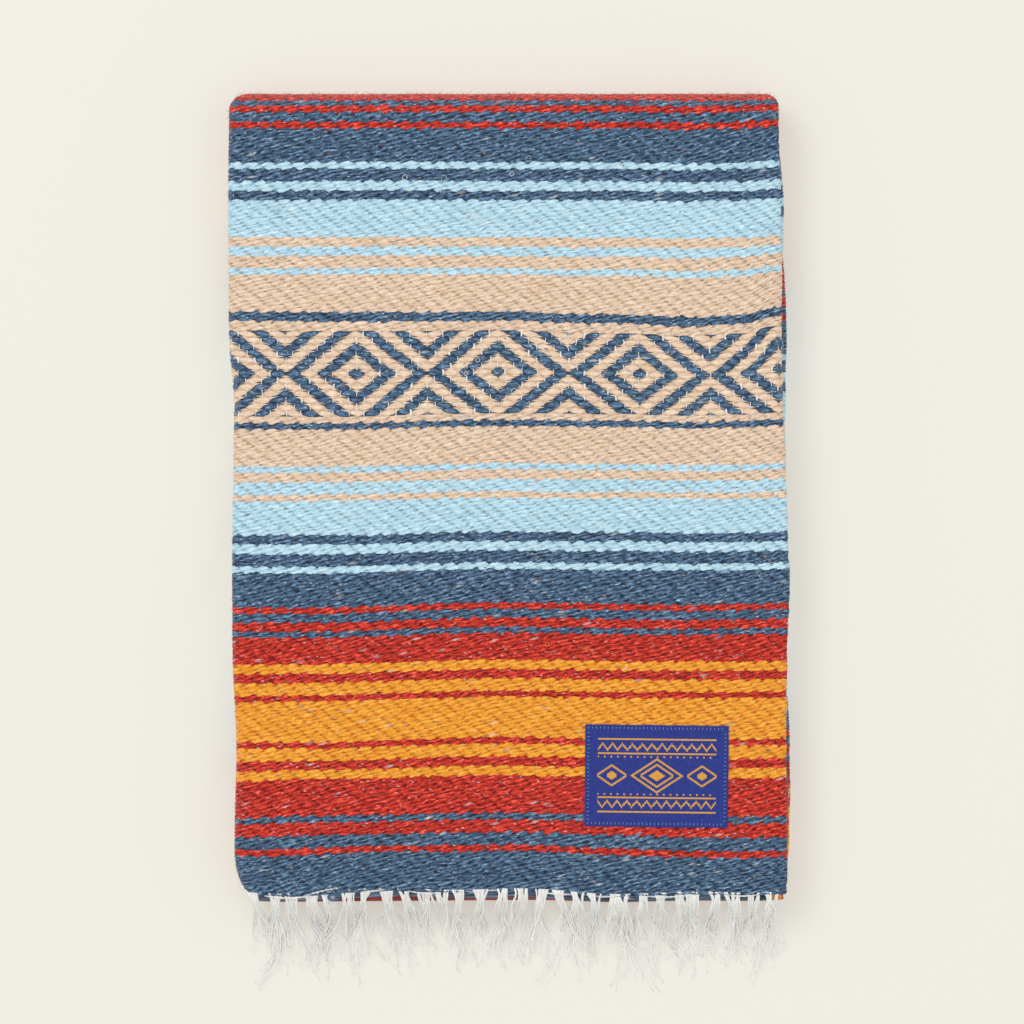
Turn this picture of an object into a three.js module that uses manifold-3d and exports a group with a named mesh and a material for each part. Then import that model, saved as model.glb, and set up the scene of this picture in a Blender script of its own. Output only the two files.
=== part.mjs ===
// A Mexican serape (falsa blanket) folded in thirds both ways and laid flat.
// Nine layers lie on each other. The top one rolls over the whole stack at the upper fold
// and over its own three layers at the left fold; the warp fringe falls from the lower hem,
// and a woven label is sewn on near that hem.
// Millimetres: +X to the right, +Y towards the upper fold, +Z up from the surface it lies on.

import * as THREE from 'three';
import Module from 'manifold-3d';

// Cloth and stack
const CLOTH = 3.0;                          // wall of the woven cloth
const LAYER_PITCH = 3.7;                    // one layer with the air above it
const LAYERS_PER_PANEL = 3;                 // the width is folded in thirds first
const PANELS = 3;                           // then the length is
const PANEL_HEIGHT = LAYER_PITCH * LAYERS_PER_PANEL;
const STACK_HEIGHT = PANEL_HEIGHT * PANELS;
const STACK_LENGTH = 611;                   // lower hem to the crown of the upper fold
const UPPER_RADIUS = STACK_HEIGHT / 2;      // outside of the upper fold, the full height
const LEFT_RADIUS = PANEL_HEIGHT / 2;       // outside of the left fold, one panel high
const LOWER_RADIUS = PANEL_HEIGHT;          // lower fold of the two panels under the hem
const GAP = 0.3;                            // clear space between neighbouring pieces
const FRINGE_GAP = 1.5;                     // the loose fringe stands a little further off

// Places along Y
const HEM_Y = -STACK_LENGTH / 2;
const UPPER_FOLD_Y = STACK_LENGTH / 2 - UPPER_RADIUS;
const LOWER_FOLD_OUT = 6;                   // the lower fold's crown lies this far past the hem
const LOWER_FOLD_Y = HEM_Y - LOWER_FOLD_OUT + LOWER_RADIUS;

// Top layer
const LEFT_TUCK = 4;                        // flat cloth past the left roll, under the panel
const UNDER_TUCK = 24;                      // flat cloth past the upper roll, on the surface
const HEM_DROOP = 2.0;                      // how far the hem sinks onto the layers below
const HEM_DROOP_RUN = 26;
const HEM_WAVE_RUN = 90;                    // the hem's waves die out this far in
const HIDDEN_INSET = CLOTH / 2;             // hidden layers start inside the wall and are cut to it
const PANEL_OVERLAP = 0.6;                  // upper hidden layers sink into the lower ones to join

// Plan corners of the stack
const UPPER_CORNER = 9;
const LOWER_LEFT_CORNER = 15;
const LOWER_RIGHT_CORNER = 3;

const LOWER_TAPER = { run: 28, left: 8, right: 4 };  // the lower fold draws in under the hem

// Fringe
const FRINGE_LEFT = -200;
const FRINGE_RIGHT = 218;
const FRINGE_REACH = 76;                    // from the hem, lying on the surface
const FRINGE_REACH_WAVE = 6;

// Label
const LABEL = { x: 113.3, y: -216, width: 109, height: 77.5, thick: 0.9, turn: -0.7 };

// Mesh fineness
const SHEET_COLUMNS = 14;
const CORNER_STATIONS = [1.5, 4, 8, 14, 26];  // runs from the hem, round its corners and droop
const FLAT_STATIONS = 13;
const UPPER_STEPS = 10;
const ROLL_STEPS = 6;
const BULGE_STEPS = 4;
const CORE_COLUMNS = 10;
const NOSE_STEPS = 5;
const NOSE_END = 80;                        // degrees; a flat cap closes the nose here
const FRINGE_STATIONS = 16;

// Side edges from the middle line, by distance above the hem: the top layer's left fold and
// right selvedge, and how far the inner folds of each panel stand out past the selvedge
// (negative ones hide under it).
const EDGES = [
  { along: -20, left: 208.5, right: 212.0, fold1: -2.0, fold3: 1.5, fold2: -1.0 },
  { along: 45, left: 209.0, right: 212.1, fold1: -2.0, fold3: 3.0, fold2: 0.5 },
  { along: 110, left: 207.6, right: 211.4, fold1: -2.5, fold3: 2.6, fold2: -0.5 },
  { along: 185, left: 210.6, right: 212.1, fold1: -2.0, fold3: 0.5, fold2: -1.5 },
  { along: 235, left: 210.8, right: 214.0, fold1: -3.0, fold3: -1.0, fold2: -2.5 },
  { along: 275, left: 210.6, right: 212.7, fold1: -3.0, fold3: -1.0, fold2: -1.5 },
  { along: 340, left: 209.8, right: 210.2, fold1: -2.0, fold3: 2.5, fold2: 0.5 },
  { along: 370, left: 209.4, right: 208.8, fold1: -2.0, fold3: 4.0, fold2: 1.5 },
  { along: 430, left: 213.4, right: 208.2, fold1: -1.0, fold3: 5.0, fold2: 2.0 },
  { along: 520, left: 213.8, right: 207.5, fold1: 4.0, fold3: 1.5, fold2: 0.0 },
  { along: 585, left: 213.4, right: 205.6, fold1: 0.5, fold3: -2.0, fold2: -2.0 },
  { along: 640, left: 211.5, right: 204.5, fold1: -3.0, fold3: -4.0, fold2: -3.0 },
];

// Low swells of the top layer: height, lengths of the waves along X and Y, and phase
const SWELLS = [
  { height: 0.45, alongX: 260, alongY: 520, phase: 0.4 },
  { height: 0.30, alongX: -410, alongY: 190, phase: 1.9 },
  { height: 0.20, alongX: 150, alongY: -340, phase: 3.1 },
];

// The fringe's section over the lower fold and out along the surface: the share of the reach
// out from the hem, and the lower and upper heights there
const FRINGE_PROFILE = [
  { share: 0.00, low: 0, high: 30.2 },
  { share: 0.08, low: 0, high: 29 },
  { share: 0.16, low: 0, high: 24.5 },
  { share: 0.23, low: 0, high: 16.5 },
  { share: 0.32, low: 0, high: 9.5 },
  { share: 0.50, low: 0, high: 6 },
  { share: 0.96, low: 0, high: 3.2 },
  { share: 1.00, low: 0.8, high: 2 },
];

// Waves of the lower hem in plan: reach, length along X and phase
const HEM_WAVES = [
  { reach: 1.9, length: 330, phase: 2.5 },
  { reach: 1.1, length: 118, phase: 0.6 },
];

const TAU = Math.PI * 2;

function smooth(t) {
  const u = Math.min(Math.max(t, 0), 1);
  return u * u * (3 - 2 * u);
}

// One column of EDGES at a distance above the hem, eased between its rows
function edge(column, along) {
  let i = 0;
  while (i < EDGES.length - 2 && along > EDGES[i + 1].along) i += 1;
  const low = EDGES[i];
  const high = EDGES[i + 1];
  const t = smooth((along - low.along) / (high.along - low.along));
  return low[column] + (high[column] - low[column]) * t;
}

// How much a corner of this radius takes off the width, this far from the end
function cornerInset(radius, distance) {
  if (distance >= radius) return 0;
  const d = Math.min(radius - Math.max(distance, 0), radius * 0.995);
  return radius - Math.sqrt(radius * radius - d * d);
}

function leftEdge(y) {
  const upper = cornerInset(UPPER_CORNER, STACK_LENGTH / 2 - y);
  const lower = cornerInset(LOWER_LEFT_CORNER, y - HEM_Y + 1);
  return -edge('left', y - HEM_Y) + upper + lower;
}

function rightEdge(y) {
  const upper = cornerInset(UPPER_CORNER, STACK_LENGTH / 2 - y);
  const lower = cornerInset(LOWER_RIGHT_CORNER, y - HEM_Y + 1);
  return edge('right', y - HEM_Y) - upper - lower;
}

function hemWave(x) {
  return HEM_WAVES.reduce((sum, w) => sum + w.reach * Math.sin(TAU * x / w.length + w.phase), 0);
}

// The hem's waves and droop at a distance above it
function hemShift(x, along) {
  return hemWave(x) * (1 - smooth(along / HEM_WAVE_RUN));
}

function hemDroop(along) {
  return HEM_DROOP * (1 - smooth(along / HEM_DROOP_RUN));
}

// Height of the top face's swells, calm at the upper fold
function swell(x, y) {
  const calm = smooth((UPPER_FOLD_Y - y) / 60);
  const sum = SWELLS.reduce((total, s) => total
    + s.height * Math.cos(TAU * (x / s.alongX + y / s.alongY) + s.phase), 0);
  return sum * calm;
}

// Outer face of the top layer, by the run of cloth from the hem: flat, round the upper fold,
// then flat again on the surface. ny and nz are its outward normal.
const FLAT_RUN = UPPER_FOLD_Y - HEM_Y;
const FOLD_RUN = Math.PI * UPPER_RADIUS;

function sheetPath(run) {
  if (run <= FLAT_RUN) {
    return { y: HEM_Y + run, z: STACK_HEIGHT - hemDroop(run), ny: 0, nz: 1 };
  }
  const turn = (run - FLAT_RUN) / UPPER_RADIUS;
  if (turn <= Math.PI) {
    const y = UPPER_FOLD_Y + UPPER_RADIUS * Math.sin(turn);
    const z = UPPER_RADIUS + UPPER_RADIUS * Math.cos(turn);
    return { y, z, ny: Math.sin(turn), nz: Math.cos(turn) };
  }
  return { y: UPPER_FOLD_Y - (run - FLAT_RUN - FOLD_RUN), z: 0, ny: 0, nz: -1 };
}

const SHEET_RUN = FLAT_RUN + FOLD_RUN + UNDER_TUCK;

function sheetRuns(grow) {
  const runs = grow > 0 ? [-grow, 0, ...CORNER_STATIONS] : [0, ...CORNER_STATIONS];
  const even = FLAT_RUN - CORNER_STATIONS.at(-1);
  for (let i = 1; i <= FLAT_STATIONS; i += 1) {
    runs.push(CORNER_STATIONS.at(-1) + even * i / FLAT_STATIONS);
  }
  for (let i = 1; i <= UPPER_STEPS; i += 1) {
    runs.push(FLAT_RUN + FOLD_RUN * i / UPPER_STEPS);
  }
  runs.push(SHEET_RUN);
  if (grow > 0) runs.push(SHEET_RUN + grow);
  return runs;
}

// Points of a half circle of cloth about the left fold's centre, from the top to its underside
function rollPoints(centreX, radius) {
  const points = [];
  for (let i = 0; i <= ROLL_STEPS; i += 1) {
    const a = Math.PI * i / ROLL_STEPS;
    points.push({ x: centreX - radius * Math.sin(a), depth: LEFT_RADIUS - radius * Math.cos(a) });
  }
  return points;
}

// Section of the top layer across its width, as x and depth below its outer face:
// selvedge, top, left roll and tuck on the outside, then back along the inside
function sheetSection(left, right, grow) {
  const centreX = left + LEFT_RADIUS;
  const line = (depth) => {
    const points = [];
    for (let i = 0; i < SHEET_COLUMNS; i += 1) {
      points.push({ x: right + grow + (centreX - right - grow) * i / SHEET_COLUMNS, depth });
    }
    return points;
  };
  const tuckX = centreX + LEFT_TUCK + grow;
  const outer = [...line(-grow), ...rollPoints(centreX, LEFT_RADIUS + grow)];
  outer.push({ x: tuckX, depth: 2 * LEFT_RADIUS + grow });
  const inner = [...line(CLOTH + grow), ...rollPoints(centreX, LEFT_RADIUS - CLOTH - grow)];
  inner.push({ x: tuckX, depth: 2 * LEFT_RADIUS - CLOTH - grow });
  return [...outer, ...inner.reverse()];
}

function sheetRing(run, grow) {
  const path = sheetPath(run);
  const edgeY = sheetPath(THREE.MathUtils.clamp(run, 0, SHEET_RUN)).y;
  const section = sheetSection(leftEdge(edgeY), rightEdge(edgeY), grow);
  return section.map(({ x, depth }) => {
    const rise = swell(x, path.y) * Math.max(path.nz, 0);
    const along = path.y - HEM_Y + (path.nz < 0 ? HEM_WAVE_RUN : 0);
    const y = path.y - path.ny * depth + hemShift(x, along);
    return new THREE.Vector3(x, y, path.z - path.nz * depth + rise);
  });
}

// Half circles of folded layers seen from one side, between the heights in a list.
// side is 1 on the right and -1 on the left; outs are their crowns' x.
function bulges(heights, outs, side) {
  const points = [];
  for (let k = 0; k < outs.length; k += 1) {
    const radius = Math.abs(heights[k + 1] - heights[k]) / 2;
    const middle = (heights[k + 1] + heights[k]) / 2;
    const start = Math.sign(heights[k] - middle);
    for (let i = 0; i < BULGE_STEPS; i += 1) {
      const a = Math.PI * i / BULGE_STEPS;
      const x = outs[k] - side * radius * (1 - Math.sin(a));
      points.push({ x, z: middle + start * radius * Math.cos(a) });
    }
  }
  const last = outs.length - 1;
  const lastRadius = Math.abs(heights[last + 1] - heights[last]) / 2;
  points.push({ x: outs[last] - side * lastRadius, z: heights[last + 1] });
  return points;
}

function columnsBetween(from, to) {
  const points = [];
  for (let i = 1; i < CORE_COLUMNS; i += 1) {
    points.push({ x: from.x + (to.x - from.x) * i / CORE_COLUMNS, z: from.z });
  }
  return points;
}

// Section of the two lower panels: on the right the bottom selvedge, two inner folds and the
// next selvedge; on the left one fold for each panel
function lowerSection(y, grow) {
  const sideY = Math.max(y, LOWER_FOLD_Y);
  const taper = 1 - smooth((sideY - LOWER_FOLD_Y) / LOWER_TAPER.run);
  const right = rightEdge(sideY) - LOWER_TAPER.right * taper + grow;
  const left = leftEdge(sideY) + LOWER_TAPER.left * taper - grow;
  const along = sideY - HEM_Y;
  const rightOuts = [
    right + edge('fold2', along) - 1.5,
    right + edge('fold2', along),
    right + edge('fold3', along),
    right + edge('fold3', along) - 2,
  ];
  const rightHeights = [-grow, LAYER_PITCH, PANEL_HEIGHT, 5 * LAYER_PITCH, 2 * PANEL_HEIGHT + grow];
  const leftOuts = [left + 1.5 + edge('fold2', along) * 0.2, left + 1 - edge('fold2', along) * 0.2];
  const rightSide = bulges(rightHeights, rightOuts, 1);
  const leftSide = bulges([2 * PANEL_HEIGHT + grow, PANEL_HEIGHT, -grow], leftOuts, -1);
  const top = columnsBetween(rightSide.at(-1), leftSide[0]);
  const bottom = columnsBetween(leftSide.at(-1), rightSide[0]);
  return [...rightSide, ...top, ...leftSide, ...bottom];
}

// Section of the hidden layers of the top panel, one fold on each side
function upperSection(y, grow) {
  const along = y - HEM_Y;
  const low = 2 * PANEL_HEIGHT - PANEL_OVERLAP - grow;
  const high = STACK_HEIGHT - HIDDEN_INSET;
  const rightFoldTop = STACK_HEIGHT - LAYER_PITCH + grow;
  const right = rightEdge(y) + grow;
  const rightOuts = [right + edge('fold1', along), right - HIDDEN_INSET];
  const rightSide = bulges([low, rightFoldTop, high], rightOuts, 1);
  const leftSide = bulges([high, low], [leftEdge(y) + HIDDEN_INSET - grow], -1);
  const top = columnsBetween(rightSide.at(-1), leftSide[0]);
  const bottom = columnsBetween(leftSide.at(-1), rightSide[0]);
  return [...rightSide, ...top, ...leftSide, ...bottom];
}

// Rings of hidden layers between y stations; each station scales the section's height about a
// centre, which rounds the panels off inside the upper fold and at the lower fold
function coreRings(section, stations, grow) {
  return stations.map(({ y, centre, scale }) => section(y, grow).map(({ x, z }) => {
    const along = y - HEM_Y;
    const droop = hemDroop(along) * smooth(z / PANEL_HEIGHT - 2);
    return new THREE.Vector3(x, y + hemShift(x, along), centre + (z - centre) * scale - droop);
  }));
}

function flatStations(fromY, toY) {
  const starts = [0, ...CORNER_STATIONS].map((run) => fromY + run);
  const evenFrom = starts.at(-1);
  for (let i = 1; i <= FLAT_STATIONS; i += 1) {
    starts.push(evenFrom + (toY - evenFrom) * i / FLAT_STATIONS);
  }
  return starts.map((y) => ({ y, centre: 0, scale: 1 }));
}

function noseStations(centreY, radius, side, centre, grownScale) {
  const stations = [];
  for (let i = 1; i <= NOSE_STEPS; i += 1) {
    const a = THREE.MathUtils.degToRad(NOSE_END * i / NOSE_STEPS);
    const y = centreY + side * radius * Math.sin(a);
    stations.push({ y, centre, scale: Math.cos(a) * grownScale });
  }
  return stations;
}

function lowerPanels(grow) {
  const lower = LOWER_RADIUS + grow;
  const nose = noseStations(LOWER_FOLD_Y, lower, -1, PANEL_HEIGHT, lower / LOWER_RADIUS);
  const stations = [
    ...nose.reverse(),
    ...flatStations(LOWER_FOLD_Y, UPPER_FOLD_Y),
    ...noseStations(UPPER_FOLD_Y, UPPER_RADIUS - HIDDEN_INSET, 1, UPPER_RADIUS, 1),
  ];
  return coreRings(lowerSection, stations, grow);
}

function upperPanel(grow) {
  const stations = [
    ...flatStations(HEM_Y + 1.5 - grow, UPPER_FOLD_Y),
    ...noseStations(UPPER_FOLD_Y, UPPER_RADIUS - HIDDEN_INSET, 1, UPPER_RADIUS, 1),
  ];
  return coreRings(upperSection, stations, grow);
}

// Section of the fringe at one x: its upper side out to the tips, then its lower side back
function fringeRing(x) {
  const hemY = HEM_Y + hemWave(x);
  const reach = FRINGE_REACH + FRINGE_REACH_WAVE * Math.sin(TAU * x / 210 + 1.1);
  const point = (share, z) => new THREE.Vector3(x, hemY - share * reach, z);
  const upper = FRINGE_PROFILE.map(({ share, high }) => point(share, high));
  const lower = FRINGE_PROFILE.map(({ share, low }) => point(share, low));
  return [...upper, ...lower.reverse()];
}

function fringeRings() {
  const rings = [];
  for (let i = 0; i <= FRINGE_STATIONS; i += 1) {
    rings.push(fringeRing(FRINGE_LEFT + (FRINGE_RIGHT - FRINGE_LEFT) * i / FRINGE_STATIONS));
  }
  return rings;
}

// Clear space round the lower fold, a D along the whole width that follows the hem's waves
function lowerFoldRoom() {
  const radius = LOWER_RADIUS + FRINGE_GAP;
  const rings = [];
  for (let i = 0; i <= FRINGE_STATIONS; i += 1) {
    const x = FRINGE_LEFT - 8 + (FRINGE_RIGHT - FRINGE_LEFT + 16) * i / FRINGE_STATIONS;
    const ring = [];
    for (let k = 0; k <= 2 * NOSE_STEPS; k += 1) {
      const a = Math.PI * k / (2 * NOSE_STEPS);
      const y = LOWER_FOLD_Y + hemWave(x) - radius * Math.sin(a);
      ring.push(new THREE.Vector3(x, y, PANEL_HEIGHT - radius * Math.cos(a)));
    }
    const backY = LOWER_FOLD_Y + 2 * radius;
    ring.push(new THREE.Vector3(x, backY, PANEL_HEIGHT + radius));
    ring.push(new THREE.Vector3(x, backY, PANEL_HEIGHT - radius));
    rings.push(ring);
  }
  return toManifold(loft(rings, true));
}

// The label lies on the top layer's points, moved out by the gap
function labelRings() {
  const turn = THREE.MathUtils.degToRad(LABEL.turn);
  const columns = 8;
  const rows = 8;
  const place = (u, v, lift) => {
    const x = LABEL.x + u * Math.cos(turn) - v * Math.sin(turn);
    const y = LABEL.y + u * Math.sin(turn) + v * Math.cos(turn);
    return new THREE.Vector3(x, y, STACK_HEIGHT + swell(x, y) + GAP + lift);
  };
  const rings = [];
  for (let j = 0; j <= rows; j += 1) {
    const v = LABEL.height * (j / rows - 0.5);
    const ring = [];
    for (let i = 0; i <= columns; i += 1) {
      ring.push(place(LABEL.width * (i / columns - 0.5), v, 0));
    }
    for (let i = columns; i >= 0; i -= 1) {
      ring.push(place(LABEL.width * (i / columns - 0.5), v, LABEL.thick));
    }
    rings.push(ring);
  }
  return rings;
}

// End caps of a ring of points, as faces in the ring's own direction. A strip joins the two
// sides of a thin section point by point; a fan meets at an added middle point.
function stripCap(size) {
  const faces = [];
  for (let i = 0; i < size / 2 - 1; i += 1) {
    const j = size - 1 - i;
    faces.push([i, i + 1, j - 1], [i, j - 1, j]);
  }
  return faces;
}

function fanCap(size, middle) {
  const faces = [];
  for (let i = 0; i < size; i += 1) faces.push([i, (i + 1) % size, middle]);
  return faces;
}

// A closed mesh through rings of equally many points
function loft(rings, fan) {
  const size = rings[0].length;
  const points = rings.flat();
  const triangles = [];
  for (let j = 0; j < rings.length - 1; j += 1) {
    for (let i = 0; i < size; i += 1) {
      const a = j * size + i;
      const b = j * size + (i + 1) % size;
      triangles.push([a, b, b + size], [a, b + size, a + size]);
    }
  }
  const lastRing = (rings.length - 1) * size;
  const startCap = fan ? fanCap(size, points.length) : stripCap(size);
  const endCap = fan ? fanCap(size, points.length + 1 - lastRing) : stripCap(size);
  triangles.push(...startCap.map(([a, b, c]) => [a, c, b]));
  triangles.push(...endCap.map((face) => face.map((k) => k + lastRing)));
  if (fan) points.push(middleOf(rings[0]), middleOf(rings.at(-1)));
  return outward(points.flatMap((p) => p.toArray()), triangles);
}

function middleOf(ring) {
  return new THREE.Box3().setFromPoints(ring).getCenter(new THREE.Vector3());
}

// Turns every face round if the mesh's signed volume says that they point in
function outward(positions, triangles) {
  const corner = (k) => new THREE.Vector3().fromArray(positions, 3 * k);
  const volume = triangles.reduce((sum, [a, b, c]) => sum
    + corner(a).dot(corner(b).cross(corner(c))), 0);
  const faces = volume < 0 ? triangles.map(([a, b, c]) => [a, c, b]) : triangles;
  return { positions, indices: faces.flat() };
}

const wasm = await Module();
wasm.setup();

function toManifold({ positions, indices }) {
  const mesh = new wasm.Mesh({
    numProp: 3,
    vertProperties: new Float32Array(positions),
    triVerts: new Uint32Array(indices),
  });
  mesh.merge();
  return new wasm.Manifold(mesh);
}

// Only the biggest body of a cut piece is kept
function biggest(solid) {
  return solid.decompose().reduce((a, b) => (b.volume() > a.volume() ? b : a));
}

function meshOf(name, solid, look) {
  const { numProp, vertProperties, triVerts } = solid.getMesh();
  const geometry = new THREE.BufferGeometry();
  if (numProp !== 3) throw new Error(`${name} has more than positions`);
  geometry.setAttribute('position', new THREE.BufferAttribute(vertProperties, 3));
  geometry.setIndex(new THREE.BufferAttribute(triVerts, 1));
  geometry.computeVertexNormals();
  const mesh = new THREE.Mesh(geometry, new THREE.MeshStandardMaterial(look));
  mesh.name = name;
  return mesh;
}

function sheetSolid(grow) {
  const rings = sheetRuns(grow).map((run) => sheetRing(run, grow));
  return toManifold(loft(rings, false));
}

function hiddenSolid(grow) {
  const lower = toManifold(loft(lowerPanels(grow), true));
  const upper = toManifold(loft(upperPanel(grow), true));
  return lower.add(upper);
}

const topLayer = sheetSolid(0);
const foldedLayers = biggest(hiddenSolid(0).subtract(sheetSolid(GAP)));
const fringeBlank = toManifold(loft(fringeRings(), false));
const clothRoom = sheetSolid(FRINGE_GAP).add(hiddenSolid(FRINGE_GAP)).add(lowerFoldRoom());
const fringe = biggest(fringeBlank.subtract(clothRoom));
const label = toManifold(loft(labelRings(), false));

const serape = new THREE.Group();
serape.add(
  meshOf('top_layer', topLayer, { color: 0xc9862f, roughness: 0.95, metalness: 0 }),
  meshOf('folded_layers', foldedLayers, { color: 0x3f5878, roughness: 0.95, metalness: 0 }),
  meshOf('fringe', fringe, { color: 0xe4e1d8, roughness: 0.95, metalness: 0 }),
  meshOf('woven_label', label, { color: 0x2a3c92, roughness: 0.8, metalness: 0 }),
);

// The origin is the middle of the whole outline, on the surface
const outline = new THREE.Box3().setFromObject(serape);
const middle = outline.getCenter(new THREE.Vector3());
serape.position.set(-middle.x, -middle.y, -outline.min.z);

export default serape;
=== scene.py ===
"""Looks of a Mexican serape (falsa blanket), folded in thirds both ways and laid flat.

The woven top cloth, the folded layers under it, the warp fringe and the woven label are built on
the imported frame. Shapes are worked out in millimetres in the cloth's own frame, whose origin is
the middle of the stack, and put into the row frame in metres as each mesh is made.
"""

import math
from functools import partialmethod

import bpy
import numpy as np
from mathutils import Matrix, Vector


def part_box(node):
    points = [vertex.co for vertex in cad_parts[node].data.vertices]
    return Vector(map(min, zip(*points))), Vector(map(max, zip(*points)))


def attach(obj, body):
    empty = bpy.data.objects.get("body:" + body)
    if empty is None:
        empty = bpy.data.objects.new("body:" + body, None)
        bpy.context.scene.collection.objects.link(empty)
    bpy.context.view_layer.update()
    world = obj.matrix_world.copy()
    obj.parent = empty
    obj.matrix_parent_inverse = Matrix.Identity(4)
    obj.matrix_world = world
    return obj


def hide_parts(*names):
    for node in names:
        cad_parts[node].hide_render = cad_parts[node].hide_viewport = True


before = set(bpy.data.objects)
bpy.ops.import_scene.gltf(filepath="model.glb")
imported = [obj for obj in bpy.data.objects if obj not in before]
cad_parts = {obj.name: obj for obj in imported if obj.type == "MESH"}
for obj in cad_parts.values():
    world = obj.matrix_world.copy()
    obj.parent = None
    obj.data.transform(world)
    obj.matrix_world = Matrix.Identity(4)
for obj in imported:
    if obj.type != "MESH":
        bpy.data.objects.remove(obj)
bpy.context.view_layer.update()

TOP_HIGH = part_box("top_layer")[1]
FRINGE_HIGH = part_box("fringe")[1]

MM = 0.001
TAU = 2 * math.pi

# Cloth and stack, as in the CAD
CLOTH = 3.0
LAYER_PITCH = 3.7
PANEL_HEIGHT = 3 * LAYER_PITCH
STACK_HEIGHT = 3 * PANEL_HEIGHT
STACK_LENGTH = 611.0
UPPER_RADIUS = STACK_HEIGHT / 2
LEFT_RADIUS = PANEL_HEIGHT / 2
LOWER_RADIUS = PANEL_HEIGHT
HEM_Y = -STACK_LENGTH / 2
UPPER_FOLD_Y = STACK_LENGTH / 2 - UPPER_RADIUS
LOWER_FOLD_Y = HEM_Y - 6 + LOWER_RADIUS
HEM_DROOP, HEM_DROOP_RUN = 2.0, 26.0
UPPER_CORNER, LOWER_RIGHT_CORNER = 9.0, 3.0
# The lower left corner is a long shallow round: its height, and its reach as a share of that
LOWER_LEFT_CORNER, LOWER_LEFT_SHARE = 34.0, 0.42
FLAT_RUN = UPPER_FOLD_Y - HEM_Y
FOLD_RUN = math.pi * UPPER_RADIUS
UNDER_TUCK = 24.0
SHEET_RUN = FLAT_RUN + FOLD_RUN + UNDER_TUCK
FRINGE_RIGHT = 218.0
LABEL = {"x": 113.3, "y": -216.0, "width": 109.0, "height": 77.5, "turn": math.radians(-0.7)}
LABEL_U, LABEL_V = LABEL["width"] / 2, LABEL["height"] / 2
LABEL_COS, LABEL_SIN = math.cos(LABEL["turn"]), math.sin(LABEL["turn"])

# From the cloth's frame to the row frame
ORIGIN = np.array([FRINGE_HIGH.x / MM - FRINGE_RIGHT, TOP_HIGH.y / MM - STACK_LENGTH / 2, 0.0])

# Side edges from the middle line, by distance above the hem, and how far the inner folds stand
# out past the right selvedge
EDGE_COLUMNS = ("along", "left", "right", "fold1", "fold3", "fold2")
EDGE_ROWS = np.array([
    (-20, 208.5, 212.0, -2.0, 1.5, 2.0),
    (45, 209.0, 212.1, -2.0, 3.0, 4.6),
    (110, 207.6, 211.4, -2.5, 2.6, 4.4),
    (185, 210.6, 212.1, -2.0, 0.5, 0.5),
    (235, 210.8, 214.0, -3.0, -1.0, -2.5),
    (275, 210.6, 212.7, -3.0, -1.0, -1.5),
    (340, 209.8, 210.2, -2.0, 2.5, 0.5),
    (370, 209.4, 208.8, -2.0, 4.0, 1.5),
    (430, 213.4, 208.2, -1.0, 5.0, 2.0),
    (520, 213.8, 207.5, 4.0, 1.5, 0.0),
    (585, 213.4, 205.6, 0.5, -2.0, -2.0),
    (640, 211.5, 204.5, -3.0, -4.0, -3.0),
])

# Low swells of the top layer: height, lengths along X and Y, and phase
SWELLS = ((0.45, 260, 520, 0.4), (0.30, -410, 190, 1.9), (0.20, 150, -340, 3.1))

# Waves of the hem: reach, length along X and phase
HEM_WAVES = ((1.9, 330, 2.5), (1.1, 118, 0.6))

# How far the weft rises or falls from straight, by distance above the hem, at seven places
WEFT_X = (-208, -146, -2, 80, 139, 178, 206)
WEFT_RISE = (
    (0, (0, 0, 0, 0, 0, 0, 0)),
    (35, (-3.4, -2.2, -0.4, -2.0, -5.0, -5.4, -4.6)),
    (70, (-4.4, -1.5, 0, -1.0, -2.0, -2.6, -2.0)),
    (115, (-4.4, -3.6, 0, -1.0, -1.5, -1.5, -1.0)),
    (180, (-4.0, -3.6, 0, -0.8, -1.2, -1.2, -1.0)),
    (225, (-4.0, -4.0, 0, -1.0, -1.8, -1.5, -1.0)),
    (290, (-3.0, -2.7, 0, -0.8, -1.5, -1.2, -0.5)),
    (360, (-2.5, -3.0, 0, -0.8, -1.7, -1.0, 0.5)),
    (436, (0, -0.5, 0, -2.0, -4.5, -2.0, 4.0)),
    (500, (0, 0, 0, -0.5, -1.5, -0.5, 1.5)),
    (585, (0, 0, 0, 0, -1.0, 0, 1.5)),
    (630, (0, 0, 0, 0, 0, 0, 0)),
)

# The weave: warp spacing, which closes up at the selvedge, and the weft's beat, as the run of
# cloth from the hem after so many picks
WARP_PITCH = 3.0
SELVEDGE_WARPS, SELVEDGE_CLOSE = 3.5, 0.9
LAST_WARP = 147
BEAT = ((0, 0), (13, 32.4), (62, 150.3), (93, 222.0), (150, 356.6), (180, 429.6),
        (222, 529.1), (247, 588.7), (254, 606.4), (280, SHEET_RUN))
PICK_PITCH = 2.35
# A 3/1 twill: four warps to the repeat, three of them under each float
TWILL, TWILL_RUN = 4, 3

# The diamond band: its middle pick and its half height in picks, one diamond's middle warp and
# the half repeat in double warps
BAND_PICK, BAND_HALF = 167, 13
BAND_WARP, BAND_REPEAT = 37, 9
BAND_LEAN = 0.45

# Weft chart of the face: colour and picks from the hem to past the upper fold. D denim, L light
# blue, T tan, R red, O ochre; the band's ground is tan.
FACE_CHART = (
    "D13 R2 D4 R4 D2 R12 O3 R3 O4 R2 O13 R2 O4 R3 O3 R9 D2 R3 D3 R2 D11 L2 D4 L3 D3 L11 "
    "T2 L3 T4 L2 T12 D2 T2 T26 T3 D3 T12 L2 T4 L3 T3 L12 D3 L3 D4 L2 D11 R2 D3 R2 D2 R9 "
    "O3 R3 O4 R2 O6"
)
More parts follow.
